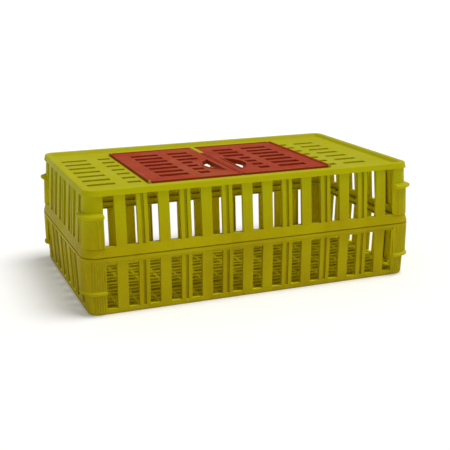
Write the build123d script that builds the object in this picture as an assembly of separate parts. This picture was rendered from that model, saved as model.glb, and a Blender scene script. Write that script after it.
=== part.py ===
from build123d import *
import math
import os

# Poultry transport crate: two moulded half shells pegged together at a belt, two lift-up doors in the top.
# Millimetres. +X runs along the crate, +Y to its back, +Z up. The origin is the middle of its base.

# Overall sizes. An "inset" is a distance inwards from the belt's outline, square to the wall.
LENGTH = 784.0
WIDTH = 475.0
HEIGHT = 270.0
BELT_RADIUS = 34.0
WALL = 3.0

# Heights of the lower shell
BASE_INSET = 10.0
BASE_ROUND = 4.0
FLOOR_BOTTOM = 2.0
FLOOR_TOP = 9.0
LOWER_SLOTS = (12.0, 113.0)
BAND_BOTTOM = 120.0
SPLIT = 128.0
SPLIT_INSET = 4.5
SPLIT_GROOVE = (1.5, 2.2)

# Heights of the upper shell
FLARE_TOP = 148.0
FLARE_INSET = 5.0
UPPER_SLOTS = (149.5, 256.5)
SKIRT_BOTTOM = 257.0
SKIRT_WALL_INSET = 12.5
SKIRT_INSETS = (8.0, 11.0)
SKIRT_ROUND = 2.5
DECK_BOTTOM = 260.3
DECK_TOP = 263.5
RIM_INNER_INSETS = (33.0, 23.0)

# Upright slots and the channel-shaped posts between them
LONG_SLOTS = 15
LONG_PITCH = 47.5
SHORT_SLOTS = 8
SHORT_PITCH = 50.0
SLOT_WIDTH = 24.0
POST_DEPTH = 8.0
POST_LIP = 2.4
FLUTE_WIDTH = 7.0
FLUTE_DEPTH = 4.0
LONG_FLUTED = (2, 4, 6, 9, 11, 13)
SHORT_FLUTED = (2, 4, 6)

# Proud corner posts, each ending in a ledge that wraps the corner
CORNER_REACH = 47.0
LOWER_LEDGE = 50.0
UPPER_LEDGE = 215.0
LEDGE_HALF_ROOT = 6.5
LEDGE_HALF_TIP = 1.5
LEDGE_OUTSET = 3.0
LEDGE_ROOTS_LOWER = (8.0, 1.5)
LEDGE_ROOTS_UPPER = (5.5, 9.8)
LEDGE_INNER = 12.0
LOWER_CORNER_INSETS = (1.5, 1.0)
UPPER_CORNER_INSETS = (3.0, 5.5)
REED_COUNT = 6
REED_START = 7.0
REED_PITCH = 5.0
REED_WIDTH = 2.2
REED_OUTSET = 1.0
REED_BOTTOM = 6.0
EDGE_RIDGES = (45.0, 35.0)
EDGE_RIDGE_WIDTH = 2.6

# Floor grating
FLOOR_PITCHES = (45.0, 22.5)
FLOOR_HOLE = (38.0, 15.5)
FLOOR_COUNTS = (16, 19)
FLOOR_EDGE_INSET = 11.0
FOOT_INSET = 18.0
TREAD_WIDTH = 4.0
TREAD_HEIGHT = 2.0

# Flanges inside the belt and the pegs through them
FLANGE = 3.0
FLANGE_INSET = 19.0
PEG_INSET = 12.5
PEG_RADIUS = 3.0
PEG_HOLE_RADIUS = 3.3
PEG_HEAD = (5.5, 2.5)
PEG_BARB = (3.9, 2.2, 7.0)
PEG_SPLIT = (1.2, 11.0)
LONG_PEGS = (-300.0, -150.0, 0.0, 150.0, 300.0)
SHORT_PEGS = (-120.0, 0.0, 120.0)

# Top deck: slot rows and the columns of each end panel, by distance from the crate's middle
DECK_ROWS = 7
DECK_PITCH = 45.0
DECK_ROWS_Y = -12.5
DECK_SLOT = 16.0
DECK_COLUMNS = ((-358.0, -297.0), (-270.0, -240.0), (216.0, 233.0), (254.0, 310.0))
SLOT_RIM = (2.2, 6.5)

# Doors. A door is laid out by its reach, measured outwards from the line where the doors meet,
# and by its depth, measured from the middle of the pair, which sits a little forward of the crate's middle.
MEET_X = -14.0
DOORS_Y = -9.0
DOOR_REACH = 218.0
DOOR_HALF_DEPTH = 172.0
DOOR_GAP = 1.0
DOOR_LIFT = 0.3
DOOR_PLATE = 3.0
DOOR_CORNER = 5.0
OPENING_REACH = 204.0
OPENING_HALF_DEPTH = 165.0
COLLAR = 3.0
COLLAR_DROP = 9.0
BEAD_WIDTH = 4.0
BEAD_HEIGHT = 1.4
DOOR_ROWS = 7
DOOR_PITCH = 38.5
DOOR_ROWS_Y = -3.0
DOOR_SLOT = 21.0
DOOR_OUTER_SLOT = (110.0, 178.0)
DOOR_INNER_SLOT = (34.0, 86.0)
DOOR_SHORT_SLOT = (60.0, 86.0)
DOOR_RIBS = (98.0, 190.0)
DOOR_RIB = (3.0, 5.0)

# Hand hole in each door: straight towards the meeting line, bowed away from it
HAND_HOLE_REACH = (20.0, 50.0)
HAND_HOLE_Y = -53.0
HAND_HOLE_LENGTH = 122.0
HAND_HOLE_RIM = 3.5

# Tongue of the deck between the doors, at the back
TONGUE_LENGTH = 72.0
TONGUE_WIDTH = 11.0
TONGUE_TOP = 267.0
TONGUE_CLEARANCE = 1.0

# Door hinges
HINGE_RADIUS = 2.9
HINGE_REACH = DOOR_REACH - HINGE_RADIUS
HINGE_Z = DECK_TOP + 3.3
HINGE_BORE = 1.55
ROD_RADIUS = 1.5
EAR_SPAN = (166.0, 171.5)
EAR_BLIND = 1.5
EAR_CLEARANCE = 0.4
EAR_NOTCH = 5.6

DOOR_BOTTOM = DECK_TOP + DOOR_LIFT
DOOR_TOP = DOOR_BOTTOM + DOOR_PLATE


def outline(inset):
    """Plan of the crate, set in from the belt, as a face at height 0."""
    size = (LENGTH - 2 * inset, WIDTH - 2 * inset)
    return RectangleRounded(*size, BELT_RADIUS - inset)


def frustum(low, low_inset, high, high_inset):
    """Solid between two heights, with the crate's plan at the given insets."""
    rise = high - low
    draft = math.degrees(math.atan(abs(high_inset - low_inset) / rise))
    if low_inset <= high_inset:
        return extrude(Pos(0, 0, low) * outline(low_inset), rise, taper=draft)
    return extrude(Pos(0, 0, high) * outline(high_inset), rise, dir=(0, 0, -1), taper=draft)


def block(xs, ys, zs):
    """Box between two corners, given as a low and high value on each axis."""
    centre = [(low + high) / 2 for low, high in (xs, ys, zs)]
    size = [high - low for low, high in (xs, ys, zs)]
    return Pos(*centre) * Box(*size)


def centred(middle, width):
    """Low and high value of a span, from its middle and width."""
    return (middle - width / 2, middle + width / 2)


def row(count, pitch):
    """Middles of evenly spaced features, centred on 0."""
    return [(index - (count - 1) / 2) * pitch for index in range(count)]


def along_y(radius, length, x, y, z):
    """Cylinder along Y, centred on a point."""
    return Pos(x, y, z) * Rot(90, 0, 0) * Cylinder(radius, length)


def corner_columns(heights):
    """Four upright blocks that take in the crate's corners."""
    reach_x = (LENGTH / 2 - CORNER_REACH, LENGTH)
    reach_y = (WIDTH / 2 - CORNER_REACH, WIDTH)
    column = block(reach_x, reach_y, heights)
    pair = [column, mirror(column, Plane.YZ)]
    return pair + [mirror(item, Plane.XZ) for item in pair]


def slot_cutters(heights):
    """Bars right through the crate, one for each pair of facing slots."""
    across = (-WIDTH, WIDTH)
    along = (-LENGTH, LENGTH)
    long_walls = [block(centred(x, SLOT_WIDTH), across, heights) for x in row(LONG_SLOTS, LONG_PITCH)]
    short_walls = [block(along, centred(y, SLOT_WIDTH), heights) for y in row(SHORT_SLOTS, SHORT_PITCH)]
    return long_walls + short_walls


def post_bars(width, heights, long_chosen, short_chosen):
    """Bars right through the crate in line with the chosen posts, numbered from 1."""
    across = (-WIDTH, WIDTH)
    along = (-LENGTH, LENGTH)
    bars = []
    for number, x in enumerate(row(LONG_SLOTS - 1, LONG_PITCH), start=1):
        if number in long_chosen:
            bars.append(block(centred(x, width), across, heights))
    for number, y in enumerate(row(SHORT_SLOTS - 1, SHORT_PITCH), start=1):
        if number in short_chosen:
            bars.append(block(along, centred(y, width), heights))
    return bars


def wall_fields(heights):
    """The stretches of wall between the corner posts, as two crossing blocks."""
    half_x = (LONG_SLOTS * LONG_PITCH) / 2
    half_y = (SHORT_SLOTS * SHORT_PITCH) / 2
    return [
        block((-half_x, half_x), (-WIDTH, WIDTH), heights),
        block((-LENGTH, LENGTH), (-half_y, half_y), heights),
    ]


def slotted_wall(low, low_inset, high, high_inset, slots):
    """One shell's drafted wall: a skin, posts with lips turned inwards, upright slots and fluted posts."""
    whole = frustum(low, low_inset, high, high_inset)
    if low == 0:
        whole = fillet(whole.edges().group_by(Axis.Z)[0], BASE_ROUND)
    cavity = frustum(low, low_inset + WALL, high, high_inset + WALL)
    core = frustum(low, low_inset + POST_DEPTH, high, high_inset + POST_DEPTH)
    flute_floor = frustum(low, low_inset + FLUTE_DEPTH, high, high_inset + FLUTE_DEPTH)
    lip_span = (slots[0] - POST_LIP, slots[1] + POST_LIP)
    lips = Part() + [(cavity - core) & field for field in wall_fields(lip_span)]
    inside_lips = (slots[0] + POST_LIP, slots[1] - POST_LIP)
    pocket_width = LONG_PITCH - SLOT_WIDTH - 2 * POST_LIP
    long_plain = [number for number in range(1, LONG_SLOTS) if number not in LONG_FLUTED]
    short_plain = [number for number in range(1, SHORT_SLOTS) if number not in SHORT_FLUTED]
    pockets = [bar & cavity for bar in post_bars(pocket_width, inside_lips, long_plain, short_plain)]
    flutes = Part() + post_bars(FLUTE_WIDTH, slots, LONG_FLUTED, SHORT_FLUTED) - flute_floor
    return (whole - cavity + lips) - pockets - flutes - slot_cutters(slots)


def ledge(height, roots):
    """Bead that wraps all four corners at one height. Its roots are the insets below it and above it."""
    lower = frustum(height - LEDGE_HALF_ROOT, roots[0], height - LEDGE_HALF_TIP, -LEDGE_OUTSET)
    tip = frustum(height - LEDGE_HALF_TIP, -LEDGE_OUTSET, height + LEDGE_HALF_TIP, -LEDGE_OUTSET)
    upper = frustum(height + LEDGE_HALF_TIP, -LEDGE_OUTSET, height + LEDGE_HALF_ROOT, roots[1])
    inside = frustum(height - LEDGE_HALF_ROOT, LEDGE_INNER, height + LEDGE_HALF_ROOT, LEDGE_INNER)
    bead = lower + tip + upper - inside
    return [bead & column for column in corner_columns((0, HEIGHT))]


def corner_posts(low, low_inset, high, high_inset):
    """Proud skins over the four corners between two heights."""
    inside = frustum(low, low_inset + WALL + 1, high, high_inset + WALL + 1)
    skin = frustum(low, low_inset, high, high_inset) - inside
    return [skin & column for column in corner_columns((0, HEIGHT))]


def upright_ridges(low, low_inset, high, high_inset, reaches, width):
    """Upright ridges that stand proud of the four corners, each placed by its reach from a crate end."""
    outer = frustum(low, low_inset - REED_OUTSET, high, high_inset - REED_OUTSET)
    ring = outer - frustum(low, low_inset + 1, high, high_inset + 1)
    bars = []
    for side in (-1, 1):
        for reach in reaches:
            bars.append(block(centred(side * (LENGTH / 2 - reach), width), (-WIDTH, WIDTH), (low, high)))
            bars.append(block((-LENGTH, LENGTH), centred(side * (WIDTH / 2 - reach), width), (low, high)))
    corners = Part() + corner_columns((low, high))
    return ring & (Part() + bars) & corners


def wall_inset(height):
    """Inset of the lower shell's outer face at a height."""
    return BASE_INSET + (SPLIT_INSET - BASE_INSET) * height / SPLIT


def lower_reeds():
    """Fine ridges on the lower corners, above and below the ledge, with a stouter pair beside the slots."""
    reaches = [CORNER_REACH - REED_START - step * REED_PITCH for step in range(REED_COUNT)]
    post_low = LOWER_LEDGE + LEDGE_HALF_ROOT - 1
    foot_high = LOWER_LEDGE - LEDGE_HALF_ROOT + 1
    post = (post_low, LOWER_CORNER_INSETS[0], BAND_BOTTOM, LOWER_CORNER_INSETS[1])
    foot = (REED_BOTTOM, wall_inset(REED_BOTTOM), foot_high, wall_inset(foot_high))
    fine = [upright_ridges(*span, reaches, REED_WIDTH) for span in (post, foot)]
    stout = [upright_ridges(*span, EDGE_RIDGES, EDGE_RIDGE_WIDTH) for span in (post, foot)]
    return fine + stout


def peg_places():
    """Plan positions of the pegs: along the front and back, then along the two ends."""
    y = WIDTH / 2 - PEG_INSET
    x = LENGTH / 2 - PEG_INSET
    front_and_back = [(place, side * y) for side in (-1, 1) for place in LONG_PEGS]
    ends = [(side * x, place) for side in (-1, 1) for place in SHORT_PEGS]
    return front_and_back + ends


def belt_flange(low, high, outer_inset):
    """Level flange inside the belt, with a hole for each peg."""
    ring = frustum(low, outer_inset, high, outer_inset) - frustum(low, FLANGE_INSET, high, FLANGE_INSET)
    middle = (low + high) / 2
    holes = [Pos(x, y, middle) * Cylinder(PEG_HOLE_RADIUS, high - low) for x, y in peg_places()]
    return ring, holes


def floor_grating():
    """Floor plate with oblong holes and raised treads along every second bar."""
    edge = outline(FLOOR_EDGE_INSET).face().outer_wire()
    holes = []
    for x in row(FLOOR_COUNTS[0], FLOOR_PITCHES[0]):
        for y in row(FLOOR_COUNTS[1], FLOOR_PITCHES[1]):
            holes.append(Wire.make_rect(*FLOOR_HOLE).moved(Location((x, y, 0))))
    plate = Pos(0, 0, FLOOR_BOTTOM) * extrude(Face(edge, holes), FLOOR_TOP - FLOOR_BOTTOM)
    tread_tops = (FLOOR_TOP - 1, FLOOR_TOP + TREAD_HEIGHT)
    reach = (-(LENGTH / 2 - FOOT_INSET - 1), LENGTH / 2 - FOOT_INSET - 1)
    treads = [block(reach, centred(y, TREAD_WIDTH), tread_tops) for y in row(8, 2 * FLOOR_PITCHES[1])]
    return plate, treads


def lower_shell():
    wall = slotted_wall(0, BASE_INSET, SPLIT, SPLIT_INSET, LOWER_SLOTS)
    groove_height, groove_depth = SPLIT_GROOVE
    band = frustum(BAND_BOTTOM, 0, SPLIT - groove_height, 0)
    band += frustum(SPLIT - groove_height, groove_depth, SPLIT, groove_depth)
    band -= frustum(BAND_BOTTOM, SPLIT_INSET + WALL, SPLIT, SPLIT_INSET + WALL)
    flange, peg_holes = belt_flange(SPLIT - FLANGE, SPLIT, groove_depth)
    corner = (LOWER_LEDGE, LOWER_CORNER_INSETS[0], BAND_BOTTOM, LOWER_CORNER_INSETS[1])
    foot_wall = frustum(0, BASE_INSET + WALL, FLOOR_TOP, BASE_INSET + WALL - 1)
    foot_wall -= frustum(0, FOOT_INSET, FLOOR_TOP, FOOT_INSET)
    plate, treads = floor_grating()
    shell = wall + [band, foot_wall, flange] + corner_posts(*corner) + ledge(LOWER_LEDGE, LEDGE_ROOTS_LOWER)
    shell = shell + plate + treads + lower_reeds()
    return shell - peg_holes


def rimmed_slot(xs, ys, bottom, top):
    """Block for the rim that hangs under a slot in a plate, and the cutter for the slot itself."""
    edge, drop = SLOT_RIM
    rim = block((xs[0] - edge, xs[1] + edge), (ys[0] - edge, ys[1] + edge), (bottom - drop, bottom))
    slot = block(xs, ys, (bottom - drop - 1, top + 1))
    return rim, slot


def deck():
    """Level top with slotted end panels, the door opening and its collar."""
    plate = frustum(DECK_BOTTOM, SKIRT_WALL_INSET, DECK_TOP, SKIRT_WALL_INSET)
    opening_x = centred(MEET_X, 2 * OPENING_REACH)
    opening_y = centred(DOORS_Y, 2 * OPENING_HALF_DEPTH)
    collar_x = centred(MEET_X, 2 * (OPENING_REACH + COLLAR))
    collar_y = centred(DOORS_Y, 2 * (OPENING_HALF_DEPTH + COLLAR))
    plate += block(collar_x, collar_y, (DECK_BOTTOM - COLLAR_DROP, DECK_BOTTOM))
    plate -= block(opening_x, opening_y, (0, HEIGHT))
    rims = []
    slots = []
    for y in row(DECK_ROWS, DECK_PITCH):
        for column in DECK_COLUMNS:
            rim, slot = rimmed_slot(column, centred(DECK_ROWS_Y + y, DECK_SLOT), DECK_BOTTOM, DECK_TOP)
            rims.append(rim)
            slots.append(slot)
    return plate + rims - slots


def tongue():
    """Finger of the deck that reaches forward between the two doors."""
    reach = (OPENING_HALF_DEPTH - TONGUE_LENGTH, OPENING_HALF_DEPTH + COLLAR + 8)
    return Pos(0, DOORS_Y, 0) * block(centred(MEET_X, TONGUE_WIDTH), reach, (DECK_BOTTOM, TONGUE_TOP))


def hinge_x(side):
    return MEET_X + side * HINGE_REACH


def hinge_ears():
    """Ears that stand on the deck at the doors' outer corners and hold the hinge rods."""
    ears = []
    for side in (-1, 1):
        foot_x = centred(hinge_x(side), 2 * HINGE_RADIUS)
        for low, high in (EAR_SPAN, (-EAR_SPAN[1], -EAR_SPAN[0])):
            foot = block(foot_x, (low, high), (DECK_TOP - 1, HINGE_Z))
            eye = along_y(HINGE_RADIUS, high - low, hinge_x(side), (low + high) / 2, HINGE_Z)
            ears.append(Pos(0, DOORS_Y, 0) * (foot + eye))
    return ears


def hinge_bores():
    """Bores through the front ears and into the back ones, which are blind."""
    front = -EAR_SPAN[1] - 1
    back = EAR_SPAN[1] - EAR_BLIND
    middle = DOORS_Y + (front + back) / 2
    return [along_y(HINGE_BORE, back - front, hinge_x(side), middle, HINGE_Z) for side in (-1, 1)]


def upper_shell():
    groove_height, groove_depth = SPLIT_GROOVE
    flare = frustum(SPLIT, groove_depth, SPLIT + groove_height, groove_depth)
    flare += frustum(SPLIT + groove_height, 0, FLARE_TOP, FLARE_INSET)
    flare -= frustum(SPLIT, WALL, FLARE_TOP, FLARE_INSET + WALL)
    wall = slotted_wall(FLARE_TOP, FLARE_INSET, DECK_BOTTOM, SKIRT_WALL_INSET, UPPER_SLOTS)
    skirt = frustum(SKIRT_BOTTOM, SKIRT_INSETS[0], HEIGHT, SKIRT_INSETS[1])
    skirt = fillet(skirt.edges().group_by(Axis.Z)[-1], SKIRT_ROUND)
    skirt -= frustum(SKIRT_BOTTOM, SKIRT_WALL_INSET + WALL, DECK_BOTTOM, SKIRT_WALL_INSET + WALL)
    skirt -= frustum(DECK_BOTTOM, RIM_INNER_INSETS[0], HEIGHT, RIM_INNER_INSETS[1])
    flange, peg_holes = belt_flange(SPLIT, SPLIT + FLANGE, groove_depth)
    corner = (FLARE_TOP, UPPER_CORNER_INSETS[0], UPPER_LEDGE, UPPER_CORNER_INSETS[1])
    shell = wall + [flare, skirt, flange] + corner_posts(*corner) + ledge(UPPER_LEDGE, LEDGE_ROOTS_UPPER)
    ridges = upright_ridges(*corner, EDGE_RIDGES, EDGE_RIDGE_WIDTH)
    shell = shell + [deck(), tongue(), ridges] + hinge_ears()
    return shell - peg_holes - hinge_bores()


def hand_hole(margin):
    """Plan of a hand hole, D-shaped, grown by a margin. X is the reach from the meeting line."""
    near = HAND_HOLE_REACH[0] - margin
    far = HAND_HOLE_REACH[1] + margin
    half = HAND_HOLE_LENGTH / 2 + margin
    start = (near, HAND_HOLE_Y - half)
    end = (near, HAND_HOLE_Y + half)
    bow = ThreePointArc(start, (far, HAND_HOLE_Y), end)
    return make_face([bow, Line(end, start)])


def door(side):
    """Door plate with slots, a raised bead round its edge, a hand hole and a hinge barrel.
    It is laid out by reach, and a left-hand door is the mirror image."""
    depth = centred(0, 2 * DOOR_HALF_DEPTH)
    width = (DOOR_GAP, HINGE_REACH)
    middle = (width[0] + width[1]) / 2
    plan = Pos(middle, 0) * Rectangle(width[1] - width[0], 2 * DOOR_HALF_DEPTH)
    plan = fillet(plan.vertices().group_by(Axis.X)[0], DOOR_CORNER)
    inner = offset(plan, -BEAD_WIDTH)
    hole = hand_hole(0)
    hole_rim = hand_hole(HAND_HOLE_RIM) - hole
    body = Pos(0, 0, DOOR_BOTTOM) * extrude(plan, DOOR_PLATE)
    body += Pos(0, 0, DOOR_TOP) * extrude((plan - inner) + hole_rim, BEAD_HEIGHT)
    for reach in DOOR_RIBS:
        rib_depth = centred(0, 2 * (OPENING_HALF_DEPTH - COLLAR))
        rib_drop = (DOOR_BOTTOM - DOOR_RIB[1], DOOR_BOTTOM)
        body += block(centred(reach, DOOR_RIB[0]), rib_depth, rib_drop)
    barrel_half = EAR_SPAN[0] - EAR_CLEARANCE
    body += along_y(HINGE_RADIUS, 2 * barrel_half, HINGE_REACH, 0, HINGE_Z)
    drop = SLOT_RIM[1]
    body += Pos(0, 0, DOOR_BOTTOM - drop) * extrude(hand_hole(SLOT_RIM[0]), drop)
    cuts = [Pos(0, 0, DOOR_BOTTOM - drop - 1) * extrude(hole, drop + DOOR_PLATE + BEAD_HEIGHT + 2)]
    hand_hole_end = HAND_HOLE_Y + HAND_HOLE_LENGTH / 2 + HAND_HOLE_RIM
    for y in row(DOOR_ROWS, DOOR_PITCH):
        slot_y = centred(DOOR_ROWS_Y + y, DOOR_SLOT)
        inner_slot = DOOR_INNER_SLOT if slot_y[0] > hand_hole_end else DOOR_SHORT_SLOT
        for column in (DOOR_OUTER_SLOT, inner_slot):
            rim, slot = rimmed_slot(column, slot_y, DOOR_BOTTOM, DOOR_TOP)
            body += rim
            cuts.append(slot)
    notch_reach = (HINGE_REACH - EAR_NOTCH, DOOR_REACH + 1)
    notch_y = (barrel_half, DOOR_HALF_DEPTH + 1)
    cuts.append(block(notch_reach, notch_y, (DOOR_BOTTOM - 1, HEIGHT)))
    cuts.append(block(notch_reach, (-notch_y[1], -notch_y[0]), (DOOR_BOTTOM - 1, HEIGHT)))
    tongue_half = TONGUE_WIDTH / 2 + TONGUE_CLEARANCE
    tongue_depth = (OPENING_HALF_DEPTH - TONGUE_LENGTH - TONGUE_CLEARANCE, DOOR_HALF_DEPTH + 1)
    cuts.append(block((0, tongue_half), tongue_depth, (DOOR_BOTTOM - 1, HEIGHT)))
    cuts.append(along_y(HINGE_BORE, 3 * DOOR_HALF_DEPTH, HINGE_REACH, 0, HINGE_Z))
    body -= cuts
    if side < 0:
        body = mirror(body, Plane.YZ)
    return Pos(MEET_X, DOORS_Y, 0) * body


def hinge_rod(side):
    """Rod pushed in from the front, through an ear and the door's barrel into the blind back ear."""
    front = -EAR_SPAN[1]
    back = EAR_SPAN[1] - EAR_BLIND - 0.2
    return along_y(ROD_RADIUS, back - front, hinge_x(side), DOORS_Y + (front + back) / 2, HINGE_Z)


def belt_peg(x, y):
    """Push-in peg: a flat head above the flanges, a shank and a split barb below them."""
    top = SPLIT + FLANGE
    bottom = SPLIT - FLANGE
    shank = Pos(0, 0, (top + bottom) / 2) * Cylinder(PEG_RADIUS, top - bottom)
    head = Pos(0, 0, top + PEG_HEAD[1] / 2) * Cylinder(PEG_HEAD[0], PEG_HEAD[1])
    wide, narrow, length = PEG_BARB
    barb = Pos(0, 0, bottom - length / 2) * Cone(narrow, wide, length)
    split_top = bottom - length + PEG_SPLIT[1]
    split = block(centred(0, PEG_SPLIT[0]), centred(0, 4 * wide), (bottom - length - 1, split_top))
    return Pos(x, y, 0) * (head + shank + barb - split)


nodes = {
    "lower_shell": lower_shell(),
    "upper_shell": upper_shell(),
    "left_door": door(-1),
    "right_door": door(1),
    "left_hinge_rod": hinge_rod(-1),
    "right_hinge_rod": hinge_rod(1),
}
for number, place in enumerate(peg_places(), start=1):
    nodes[f"belt_peg_{number:02d}"] = belt_peg(*place)

os.makedirs("parts", exist_ok=True)
for name, shape in nodes.items():
    export_step(shape, f"parts/{name}.step")
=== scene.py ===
import math

import bpy
from mathutils import Matrix, Vector


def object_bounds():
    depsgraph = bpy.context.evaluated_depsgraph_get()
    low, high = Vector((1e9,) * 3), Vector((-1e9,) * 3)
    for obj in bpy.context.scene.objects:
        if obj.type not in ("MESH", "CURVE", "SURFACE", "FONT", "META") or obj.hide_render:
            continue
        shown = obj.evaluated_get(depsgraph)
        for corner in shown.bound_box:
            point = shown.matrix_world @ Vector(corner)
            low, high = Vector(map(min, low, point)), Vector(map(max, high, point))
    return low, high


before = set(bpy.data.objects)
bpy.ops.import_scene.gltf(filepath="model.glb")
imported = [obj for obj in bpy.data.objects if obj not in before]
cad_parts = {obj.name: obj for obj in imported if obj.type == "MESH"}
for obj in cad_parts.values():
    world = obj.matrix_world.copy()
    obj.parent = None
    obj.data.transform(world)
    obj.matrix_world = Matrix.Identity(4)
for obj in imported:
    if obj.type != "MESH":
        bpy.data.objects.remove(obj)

# The crate's box as it was packed, before anything is added
cad_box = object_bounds()
crate_middle = tuple((low + high) / 2 for low, high in zip(*cad_box))
crate_reach = tuple((high - low) / 2 for low, high in zip(*cad_box))

# Linear colours. A plastic is "plain" as moulded, "dense" where there is more pigment, paler and
# greener where it lies open to the sky (fading, and painted top light), lighter on scuffs and as a
# painted highlight on every edge, and lighter still as painted light on faces towards the birds'
# space.
YELLOW = {
    "plain": (0.420, 0.350, 0.001),
    "dense": (0.360, 0.280, 0.001),
    "faded_top_lit": (0.425, 0.412, 0.001),
    "worn_and_highlit": (0.640, 0.590, 0.020),
    "inside": (0.900, 0.800, 0.001),
}
RED = {
    "plain": (0.350, 0.034, 0.012),
    "dense": (0.235, 0.024, 0.009),
    "faded_top_lit": (0.365, 0.036, 0.010),
    "worn_and_highlit": (0.430, 0.090, 0.045),
    "inside": (0.420, 0.060, 0.012),
}
# Dark brown: painted shade in corners and grooves, and dirt splashed low on the outside
GRIME_AND_SHADE = (0.200, 0.120, 0.006)
DUST = (0.500, 0.450, 0.120)
DARK_ZINC = (0.42, 0.43, 0.43)
LIGHT_ZINC = (0.62, 0.62, 0.60)
RUST = (0.16, 0.08, 0.04)
WHITE = (1.0, 1.0, 1.0)

# Patterns in the plastic. Scales count per metre, and a stretch above 1 squeezes along its axis.
CLOUDS = {"scale": 7.0, "detail": 3.0}
FLOW_MARKS = {"scale": 26.0, "detail": 2.0, "stretch": (1.0, 1.0, 0.14)}
PATCHES = {"scale": 95.0, "detail": 4.0, "roughness": 0.7}
RUBS = {"scale": 60.0, "detail": 3.0, "stretch": (1.0, 1.0, 9.0), "turn": (0.25, 0.35, 0.0)}
HAIRS = {"scale": 75.0, "detail": 2.0, "stretch": (12.0, 12.0, 1.0), "turn": (0.2, -0.5, 0.3)}
SPATTER = {"scale": 38.0, "detail": 5.0, "roughness": 0.65}
GLOSS_DRIFT = {"scale": 18.0, "detail": 4.0}
GRAIN = {"scale": 1400.0, "detail": 2.0}
SINK_MARKS = {"scale": 34.0, "detail": 1.0}

# Patterns in the wire and the studio floor
SPANGLE = {"scale": 420.0, "detail": 3.0}
RUST_SPOTS = {"scale": 160.0, "detail": 4.0, "roughness": 0.7}
FLOOR_TONES = {"scale": 1.2, "detail": 2.0}

# How much of each layer shows
CLOUD_SHARE, FLOW_SHARE = 0.65, 0.35
# Painted light on the faces towards the birds' space, and between the grating's bars
INNER_LIGHT_SHARE = 0.95
GRATING_LOSS = 0.40
# Lightening of edges: wear in scuffed patches, and a painted highlight on every edge
WEAR_AND_HIGHLIGHT_SHARE = 0.70
SCRATCH_SHARE = 0.22
# Painted shade in corners and grooves, mixed with grime
SHADE_AND_GRIME_SHARE = 0.45
SPLASH_SHARE = 0.18
DUST_SHARE = 0.05
RUST_SHARE = 0.6
# How much less painted shade and dirt the faces towards the birds' space get
INNER_LESS_SHADE_AND_DIRT = 0.8

# Heights in metres over which a layer comes or goes
FADING_HEIGHTS = (0.12, 0.26)
SPLASH_HEIGHTS = (0.0, 0.05)
GRATING_HEIGHTS = (0.012, 0.030)
# Where the floor grating ends, as a share of the crate's half length or half width
GRATING_EDGE = (0.90, 0.94)

# Sizes in metres
PLASTIC_EDGE_RADIUS = 0.0012
WIRE_EDGE_RADIUS = 0.0004
CREVICE_REACH = 0.010
PLASTIC_BUMP = {"Strength": 0.45, "Distance": 0.0004}
WIRE_BUMP = {"Strength": 0.3, "Distance": 0.0001}

# Shader constants of satin polyethylene
PLASTIC_BODY = {
    "IOR": 1.50,
    "Specular IOR Level": 0.04,
    "Subsurface Weight": 0.18,
    "Subsurface Radius": (1.0, 0.9, 0.15),
    "Subsurface Scale": 0.006,
}
SHELL_ROUGHNESS = 0.50
DOOR_ROUGHNESS = 0.48
PEG_ROUGHNESS = 0.44

# Camera, in metres, degrees and millimetres of lens
CAMERA_PLACE = (-0.7485, -1.9420, 0.6757)
CAMERA_AZIMUTH = -21.378
CAMERA_ELEVATION = 15.417
CAMERA_ROLL = -0.401
CAMERA_LENS = 70.54
SENSOR_WIDTH = 36.0
CLIP_START, CLIP_END = 0.05, 300.0

# Light: one soft sun and an even white world
KEY_DIRECTION = (-0.30, 0.14, -1.0)
KEY_STRENGTH = 2.15
KEY_SPREAD = 30.0
KEY_COLOUR = (1.0, 0.99, 0.97)
WORLD_STRENGTH = 0.38

# Studio floor: radius and height of its flat part's edge and of its raised far edge, in metres
FLOOR_RINGS = ((60.0, 0.0), (120.0, 8.0))
FLOOR_SIDES = 48
FLOOR_SHADES = (0.93, 0.95)
FLOOR_ROUGHNESS = 0.9
FLOOR_GLOW = 0.10

# Sockets of Blender's Mix node when it mixes colours
MIX_FACTOR = 0
MIX_COLOURS = (6, 7)
MIX_RESULT = 2


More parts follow.
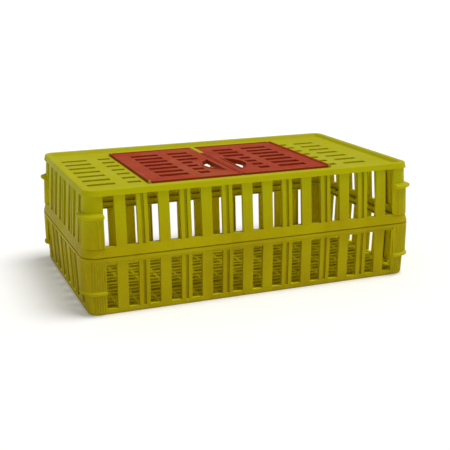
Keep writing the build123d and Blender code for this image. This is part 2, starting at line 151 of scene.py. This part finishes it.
class Tree:
    """A material's nodes. An input takes a plain value or another node's output."""

    def __init__(self, name):
        self.material = bpy.data.materials.new(name)
        self.material.use_nodes = True
        self.nodes = self.material.node_tree.nodes
        self.links = self.material.node_tree.links
        self.nodes.clear()
        self.coords = self.add("ShaderNodeTexCoord").outputs["Object"]

    def feed(self, socket, value):
        if isinstance(value, bpy.types.NodeSocket):
            self.links.new(value, socket)
        else:
            socket.default_value = value

    def add(self, kind, inputs=None, **settings):
        made = self.nodes.new(kind)
        for key, value in settings.items():
            setattr(made, key, value)
        for key, value in (inputs or {}).items():
            self.feed(made.inputs[key], value)
        return made

    def math(self, operation, first, second=0.0, clamp=False):
        inputs = {0: first, 1: second}
        return self.add("ShaderNodeMath", inputs, operation=operation, use_clamp=clamp).outputs[0]

    def times(self, first, second):
        return self.math("MULTIPLY", first, second)

    def vector(self, operation, first, second=None):
        inputs = {0: first} if second is None else {0: first, 1: second}
        return self.add("ShaderNodeVectorMath", inputs, operation=operation)

    def ramp(self, value, low, high, to_low=0.0, to_high=1.0):
        """Maps a stretch of a value, smoothly, onto another stretch."""
        inputs = {
            "Value": value,
            "From Min": low,
            "From Max": high,
            "To Min": to_low,
            "To Max": to_high,
        }
        return self.add("ShaderNodeMapRange", inputs, interpolation_type="SMOOTHSTEP").outputs[0]

    def noise(self, scale, detail, stretch=(1.0, 1.0, 1.0), turn=(0.0, 0.0, 0.0), roughness=0.5):
        placing = {"Vector": self.coords, "Scale": stretch, "Rotation": turn}
        placed = self.add("ShaderNodeMapping", placing).outputs[0]
        inputs = {"Vector": placed, "Scale": scale, "Detail": detail, "Roughness": roughness}
        return self.add("ShaderNodeTexNoise", inputs).outputs["Fac"]

    def mix(self, factor, first, second):
        """Lays the second colour over the first."""
        made = self.add("ShaderNodeMix", data_type="RGBA")
        self.feed(made.inputs[MIX_FACTOR], factor)
        for place, colour in zip(MIX_COLOURS, (first, second)):
            plain = isinstance(colour, tuple)
            self.feed(made.inputs[place], (*colour, 1.0) if plain else colour)
        return made.outputs[MIX_RESULT]

    def split(self, vector):
        return self.add("ShaderNodeSeparateXYZ", {"Vector": vector}).outputs

    def normal(self, kind="Normal"):
        return self.add("ShaderNodeNewGeometry").outputs[kind]

    def rounded_normal(self, radius):
        return self.add("ShaderNodeBevel", {"Radius": radius}, samples=6).outputs[0]

    def edges(self, rounded):
        """Mask of the sharp edges, which are where the rounded normal leaves the surface's own."""
        likeness = self.vector("DOT_PRODUCT", rounded, self.normal()).outputs["Value"]
        return self.math("SUBTRACT", 1.0, likeness, clamp=True)

    def facing_inwards(self):
        """Mask of the faces that look towards the middle of the birds' space."""
        offset = self.vector("SUBTRACT", crate_middle, self.coords).outputs[0]
        scaled = self.vector("DIVIDE", offset, crate_reach).outputs[0]
        inwards = self.vector("NORMALIZE", scaled).outputs[0]
        facing = self.vector("DOT_PRODUCT", self.normal("True Normal"), inwards).outputs["Value"]
        return self.ramp(facing, 0.50, 0.70)

    def floor_grating(self):
        """Mask of the floor grating: low down, and away from the outer walls."""
        place = self.split(self.coords)
        along = self.math("DIVIDE", self.math("ABSOLUTE", place["X"]), crate_reach[0])
        across = self.math("DIVIDE", self.math("ABSOLUTE", place["Y"]), crate_reach[1])
        middle = self.ramp(self.math("MAXIMUM", along, across), *GRATING_EDGE, 1.0, 0.0)
        return self.times(middle, self.ramp(place["Z"], *GRATING_HEIGHTS, 1.0, 0.0))

    def crevices(self):
        """Mask of the corners and grooves, where shade is painted and some dirt settles."""
        inputs = {"Distance": CREVICE_REACH}
        openness = self.add("ShaderNodeAmbientOcclusion", inputs, samples=8).outputs["AO"]
        return self.ramp(openness, 0.25, 0.90, 1.0, 0.0)

    def bump(self, height, rounded, amount):
        inputs = {"Height": height, "Normal": rounded, **amount}
        return self.add("ShaderNodeBump", inputs).outputs[0]

    def finish(self, inputs):
        surface = self.add("ShaderNodeBsdfPrincipled", inputs)
        out = self.add("ShaderNodeOutputMaterial")
        self.links.new(surface.outputs[0], out.inputs["Surface"])
        return self.material


def moulded_plastic(name, colours, roughness, splashed=False):
    """Satin moulded polyethylene: flow marks, fading and painted top light, scuffed edges and
    painted edge highlights, scratches, farm dust, painted crevice shade and painted light on the
    inner faces.
    """
    tree = Tree(name)
    rounded = tree.rounded_normal(PLASTIC_EDGE_RADIUS)
    edge = tree.edges(rounded)
    clouds = tree.noise(**CLOUDS)
    flow = tree.noise(**FLOW_MARKS)
    tone = tree.math("ADD", tree.times(clouds, CLOUD_SHARE), tree.times(flow, FLOW_SHARE))
    base = tree.mix(tree.ramp(tone, 0.36, 0.64), colours["dense"], colours["plain"])

    # Fading, and painted top light: faces that look up and the high parts of the walls get a
    # paler, greener colour
    skyward = tree.ramp(tree.split(tree.normal())["Z"], 0.15, 0.85)
    height = tree.split(tree.coords)["Z"]
    top_lit_fading = tree.math("MAXIMUM", skyward, tree.ramp(height, *FADING_HEIGHTS))
    uneven = tree.ramp(tone, 0.30, 0.62, 0.80, 1.0)
    base = tree.mix(tree.times(top_lit_fading, uneven), base, colours["faded_top_lit"])

    # Painted light: faces towards the birds' space are lightened, less so on the floor grating
    inward = tree.facing_inwards()
    outward = tree.math("SUBTRACT", 1.0, tree.times(inward, INNER_LESS_SHADE_AND_DIRT))
    grating = tree.floor_grating()
    inner_light = tree.math("SUBTRACT", INNER_LIGHT_SHARE, tree.times(grating, GRATING_LOSS))
    base = tree.mix(tree.times(inward, inner_light), base, colours["inside"])

    # Wear on edges in scuffed patches, and a painted highlight lightening every sharp edge
    patches = tree.noise(**PATCHES)
    scuffs_and_edge_light = tree.ramp(patches, 0.38, 0.60, 0.35, 1.0)
    wear_and_edge_highlight = tree.times(tree.ramp(edge, 0.010, 0.14), scuffs_and_edge_light)
    base = tree.mix(tree.times(wear_and_edge_highlight, WEAR_AND_HIGHLIGHT_SHARE), base, colours["worn_and_highlit"])

    # Rubbed stripes and hair scratches
    rubs = tree.ramp(tree.noise(**RUBS), 0.655, 0.70)
    hairs = tree.ramp(tree.noise(**HAIRS), 0.665, 0.71)
    scratches = tree.math("MAXIMUM", rubs, hairs)
    base = tree.mix(tree.times(scratches, SCRATCH_SHARE), base, colours["worn_and_highlit"])

    # Painted shade, with some dirt, in the corners; between the grating's bars painted light
    # instead
    hollow = tree.crevices()
    crevice_shade_and_grime = tree.times(hollow, tree.ramp(patches, 0.30, 0.70, 0.35, 1.0))
    outer_crevice_shade_and_grime = tree.times(crevice_shade_and_grime, tree.math("SUBTRACT", outward, grating, clamp=True))
    base = tree.mix(tree.times(outer_crevice_shade_and_grime, SHADE_AND_GRIME_SHARE), base, GRIME_AND_SHADE)
    # Painted light: the shaded hollows between the grating's bars are lightened to the inner
    # colour
    lit_between_bars = tree.times(tree.times(hollow, grating), INNER_LIGHT_SHARE)
    base = tree.mix(lit_between_bars, base, colours["inside"])

    # Splashes low on the outside
    if splashed:
        low = tree.times(tree.ramp(height, *SPLASH_HEIGHTS, 1.0, 0.0), outward)
        splash = tree.times(low, tree.ramp(tree.noise(**SPATTER), 0.46, 0.66))
        base = tree.mix(tree.times(splash, SPLASH_SHARE), base, GRIME_AND_SHADE)

    # Dust on faces that look up
    dusty = tree.times(skyward, tree.ramp(clouds, 0.40, 0.65))
    base = tree.mix(tree.times(dusty, DUST_SHARE), base, DUST)

    # Worn places, and corners with painted shade and dirt, are duller
    gloss = tree.ramp(tree.noise(**GLOSS_DRIFT), 0.3, 0.7, roughness - 0.07, roughness + 0.09)
    scraped = tree.times(tree.math("MAXIMUM", wear_and_edge_highlight, scratches), 0.18)
    gloss = tree.math("ADD", gloss, scraped, clamp=True)
    gloss = tree.math("ADD", gloss, tree.times(crevice_shade_and_grime, 0.2), clamp=True)

    grain = tree.times(tree.noise(**GRAIN), 0.25)
    sink = tree.times(tree.noise(**SINK_MARKS), 1.6)
    relief = tree.math("SUBTRACT", tree.math("ADD", grain, sink), tree.times(scratches, 0.35))
    return tree.finish({
        "Base Color": base,
        "Roughness": gloss,
        "Normal": tree.bump(relief, rounded, PLASTIC_BUMP),
        **PLASTIC_BODY,
    })


def galvanised_wire():
    """Dull zinc-coated wire with a fine spangle and a few brown spots."""
    tree = Tree("galvanised_wire")
    rounded = tree.rounded_normal(WIRE_EDGE_RADIUS)
    spangle = tree.noise(**SPANGLE)
    base = tree.mix(tree.ramp(spangle, 0.35, 0.65), DARK_ZINC, LIGHT_ZINC)
    spots = tree.ramp(tree.noise(**RUST_SPOTS), 0.60, 0.68)
    base = tree.mix(tree.times(spots, RUST_SHARE), base, RUST)
    gloss = tree.ramp(spangle, 0.3, 0.7, 0.34, 0.5)
    return tree.finish({
        "Base Color": base,
        "Metallic": tree.math("SUBTRACT", 1.0, spots, clamp=True),
        "Roughness": tree.math("ADD", gloss, tree.times(spots, 0.3), clamp=True),
        "Normal": tree.bump(spangle, rounded, WIRE_BUMP),
    })


def dress_crate():
    """Gives every CAD node the finish that its name calls for."""
    finishes = {
        "shell": moulded_plastic("yellow_polyethylene", YELLOW, SHELL_ROUGHNESS, splashed=True),
        "door": moulded_plastic("red_polyethylene", RED, DOOR_ROUGHNESS),
        "peg": moulded_plastic("yellow_peg", YELLOW, PEG_ROUGHNESS),
        "rod": galvanised_wire(),
    }
    for node_name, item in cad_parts.items():
        kind = next(word for word in finishes if word in node_name.split("_"))
        for slot in item.material_slots:
            slot.material = finishes[kind]


def make_world():
    world = bpy.data.worlds.new("studio")
    world.use_nodes = True
    background = world.node_tree.nodes["Background"]
    background.inputs["Color"].default_value = (*WHITE, 1.0)
    background.inputs["Strength"].default_value = WORLD_STRENGTH
    bpy.context.scene.world = world
    bpy.context.scene.view_settings.view_transform = "Standard"


def floor_finish():
    """Nearly even white, with a little light of its own so that it stays pale far away."""
    tree = Tree("studio_floor")
    shade = tree.ramp(tree.noise(**FLOOR_TONES), 0.3, 0.7, *FLOOR_SHADES)
    channels = {"Red": shade, "Green": shade, "Blue": shade}
    return tree.finish({
        "Base Color": tree.add("ShaderNodeCombineColor", channels).outputs[0],
        "Roughness": FLOOR_ROUGHNESS,
        "Emission Color": (*WHITE, 1.0),
        "Emission Strength": FLOOR_GLOW,
    })


def make_floor():
    points = []
    for radius, height in FLOOR_RINGS:
        for step in range(FLOOR_SIDES):
            turn = 2 * math.pi * step / FLOOR_SIDES
            points.append((radius * math.cos(turn), radius * math.sin(turn), height))
    faces = [list(range(FLOOR_SIDES))]
    for step in range(FLOOR_SIDES):
        after = (step + 1) % FLOOR_SIDES
        faces.append([step, FLOOR_SIDES + step, FLOOR_SIDES + after, after])
    mesh = bpy.data.meshes.new("studio_floor")
    mesh.from_pydata(points, [], faces)
    mesh.materials.append(floor_finish())
    item = bpy.data.objects.new("studio_floor", mesh)
    bpy.context.scene.collection.objects.link(item)


def make_camera():
    azimuth = math.radians(-CAMERA_AZIMUTH)
    elevation = math.radians(CAMERA_ELEVATION)
    roll = math.radians(CAMERA_ROLL)
    ahead = Vector((
        math.sin(azimuth) * math.cos(elevation),
        math.cos(azimuth) * math.cos(elevation),
        -math.sin(elevation),
    ))
    level = Vector((math.cos(azimuth), -math.sin(azimuth), 0.0))
    above = level.cross(ahead)
    right = level * math.cos(roll) + above * math.sin(roll)
    up = above * math.cos(roll) - level * math.sin(roll)
    lens = bpy.data.cameras.new("camera")
    lens.lens = CAMERA_LENS
    lens.sensor_width = SENSOR_WIDTH
    lens.clip_start = CLIP_START
    lens.clip_end = CLIP_END
    item = bpy.data.objects.new("camera", lens)
    turned = Matrix((right, up, -ahead)).transposed().to_4x4()
    item.matrix_world = Matrix.Translation(CAMERA_PLACE) @ turned
    bpy.context.scene.collection.objects.link(item)
    bpy.context.scene.camera = item


def make_key_light():
    """Parallel light, spread over some degrees so that its shadows are soft."""
    lamp = bpy.data.lights.new("key", "SUN")
    lamp.energy = KEY_STRENGTH
    lamp.angle = math.radians(KEY_SPREAD)
    lamp.color = KEY_COLOUR
    item = bpy.data.objects.new("key", lamp)
    item.rotation_mode = "QUATERNION"
    item.rotation_quaternion = Vector(KEY_DIRECTION).to_track_quat("-Z", "Y")
    bpy.context.scene.collection.objects.link(item)


dress_crate()
make_world()
make_floor()
make_camera()
make_key_light()
